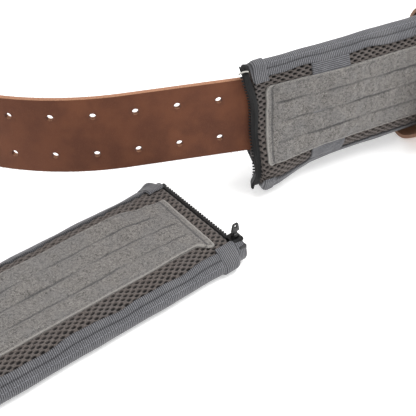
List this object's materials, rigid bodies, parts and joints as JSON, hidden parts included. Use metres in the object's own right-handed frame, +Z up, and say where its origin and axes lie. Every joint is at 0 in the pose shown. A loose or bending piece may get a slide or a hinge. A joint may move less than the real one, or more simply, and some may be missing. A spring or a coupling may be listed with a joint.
{
  "type": "padded work belt",
  "caption": "Thick leather strap with two rows of prong holes, a roller buckle and a slack keeper, worn through a padded, loop-faced sleeve; a matching zip-on sleeve lies beside it.",
  "frame": {"origin": "middle of the belt's footprint, on the floor", "axes": "+X along the threaded sleeve away from its zip end, -Y the way its loop panel faces, +Z up"},
  "size_m": [0.9328, 0.4497, 0.1377],
  "materials": {
    "roughout_leather": "rough-out suede side, matt",
    "keeper_leather": "smooth waxed face, raw edges",
    "aged_steel": "aged nickel, worn",
    "back_cloth": "brushed padded cloth",
    "lining_cloth": "smooth slip lining",
    "foam": "closed-cell foam",
    "spacer_mesh": "open hexagonal spacer mesh",
    "loop_cloth": "brushed hook-and-loop pile",
    "edge_webbing": "ribbed grosgrain",
    "zip_tape_cloth": "woven zip tape",
    "zip_plastic": "moulded teeth",
    "zip_metal": "black coated"
  },
  "bodies": {
    "belt_strap": {"strap": "roughout_leather", "buckle_rivets": "aged_steel", "rivet_burrs": "aged_steel"},
    "right_sleeve": {"right_back_panel": "back_cloth", "right_tunnel_liner": "lining_cloth", "right_foam_core": "foam", "right_mesh_face": "spacer_mesh", "right_loop_panel": "loop_cloth", "right_top_binding": "edge_webbing", "right_bottom_binding": "edge_webbing", "right_end_binding": "edge_webbing", "right_corner_tabs": "edge_webbing", "right_zip_tape": "zip_tape_cloth", "right_zip_teeth": "zip_plastic", "right_zip_top_stop": "zip_metal", "right_cross_webbing": "edge_webbing", "right_insertion_pin": "zip_plastic"},
    "left_sleeve": {"left_back_panel": "back_cloth", "left_tunnel_liner": "lining_cloth", "left_foam_core": "foam", "left_mesh_face": "spacer_mesh", "left_loop_panel": "loop_cloth", "left_top_binding": "edge_webbing", "left_bottom_binding": "edge_webbing", "left_end_binding": "edge_webbing", "left_corner_tabs": "edge_webbing", "left_zip_tape": "zip_tape_cloth", "left_zip_teeth": "zip_plastic", "left_zip_top_stop": "zip_metal", "left_retainer_box": "zip_metal"},
    "keeper": {"keeper_loop": "keeper_leather", "keeper_rivets": "aged_steel"},
    "buckle": {"buckle_frame": "aged_steel"},
    "roller": {"buckle_roller": "aged_steel"},
    "upper_prong": {"upper_prong": "aged_steel"},
    "lower_prong": {"lower_prong": "aged_steel"},
    "zip_slider": {"zip_slider": "zip_metal"},
    "zip_pull": {"zip_pull": "zip_metal"}
  },
  "joints": [
    {"name": "right_sleeve_slide", "type": "slide", "parent": "belt_strap", "child": "right_sleeve", "axis": [1, 0, 0], "range_m": [0, 0.055]},
    {"name": "keeper_slide", "type": "slide", "parent": "belt_strap", "child": "keeper", "axis": [1, 0, 0], "range_m": [-0.12, 0.12]},
    {"name": "left_sleeve_pull_away", "type": "slide", "parent": "belt_strap", "child": "left_sleeve", "axis": [-0.9778, -0.2096, 0], "range_m": [0, 0.12]},
    {"name": "zip_run", "type": "slide", "parent": "left_sleeve", "child": "zip_slider", "axis": [-0.2096, 0.9778, 0], "range_m": [0, 0.0885]},
    {"name": "zip_pull_flip", "type": "hinge", "parent": "zip_slider", "child": "zip_pull", "pos_m": [-0.11084, -0.13519, 0.0222], "axis": [0.9778, 0.2096, 0], "range_deg": [-86, 86]},
    {"name": "buckle_swing", "type": "hinge", "parent": "belt_strap", "child": "buckle", "pos_m": [0.33046, 0.19374, 0.05944], "axis": [0, 0.0785, 0.9969], "range_deg": [-20, 45]},
    {"name": "upper_prong_swing", "type": "hinge", "parent": "buckle", "child": "upper_prong", "pos_m": [0.33046, 0.1953, 0.07938], "axis": [0, -0.0785, -0.9969], "range_deg": [0, 100]},
    {"name": "lower_prong_swing", "type": "hinge", "parent": "buckle", "child": "lower_prong", "pos_m": [0.33046, 0.19217, 0.0395], "axis": [0, -0.0785, -0.9969], "range_deg": [0, 100]},
    {"name": "roller_spin", "type": "hinge", "parent": "buckle", "child": "roller", "pos_m": [0.28781, 0.21091, 0.05809], "axis": [0, 0.0785, 0.9969], "continuous": true}
  ]
}
